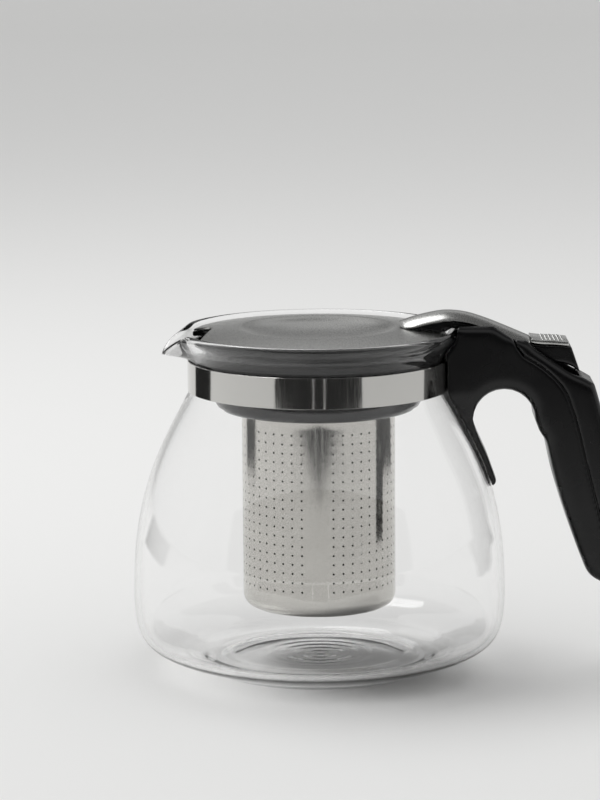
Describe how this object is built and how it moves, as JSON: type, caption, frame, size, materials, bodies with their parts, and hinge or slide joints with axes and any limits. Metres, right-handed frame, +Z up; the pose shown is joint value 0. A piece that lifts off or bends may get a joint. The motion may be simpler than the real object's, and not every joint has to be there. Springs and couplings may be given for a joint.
{
  "type": "glass teapot",
  "caption": "Round-bellied glass teapot with a steel neck band, black side handle, thumb-lever hinged steel lid and a hanging perforated steel infuser.",
  "frame": {"origin": "centre of the flat foot, on the jug's axis", "axes": "+Z up along the jug's axis, +X towards the handle, -X towards the spout"},
  "size_m": [0.1858, 0.1388, 0.1339],
  "materials": {
    "borosilicate_glass": "clear pressed and blown, fire polished",
    "polished_steel": "mirror polished stainless steel strip",
    "satin_steel": "fine bead blasted stainless steel",
    "basket_steel": "drawn and perforated stainless steel",
    "embossed_steel": "silver with raised grip dots",
    "zinc_steel": "zinc plated",
    "black_abs": "semi-gloss moulded",
    "gloss_black_pp": "gloss moulded"
  },
  "bodies": {
    "jug": {"glass_body": "borosilicate_glass", "neck_band": "polished_steel", "band_screw": "zinc_steel", "band_nut": "zinc_steel", "handle_body": "black_abs", "handle_back_cover": "black_abs", "cover_screw_upper": "zinc_steel", "cover_screw_lower": "zinc_steel", "hinge_pin": "zinc_steel"},
    "lid": {"lid_lever": "black_abs", "arm_cover": "satin_steel", "thumb_pad": "embossed_steel", "lid_plate": "satin_steel", "lid_base": "gloss_black_pp", "lid_screw_left": "zinc_steel", "lid_screw_right": "zinc_steel"},
    "infuser": {"infuser_collar": "gloss_black_pp", "infuser_basket": "basket_steel"}
  },
  "joints": [
    {"name": "lid_hinge", "type": "hinge", "parent": "jug", "child": "lid", "pos_m": [0.07, 0, 0.1195], "axis": [0, 1, 0], "range_deg": [0, 45]},
    {"name": "infuser_turn", "type": "hinge", "parent": "jug", "child": "infuser", "pos_m": [0, 0, 0.1], "axis": [0, 0, 1], "continuous": true}
  ]
}
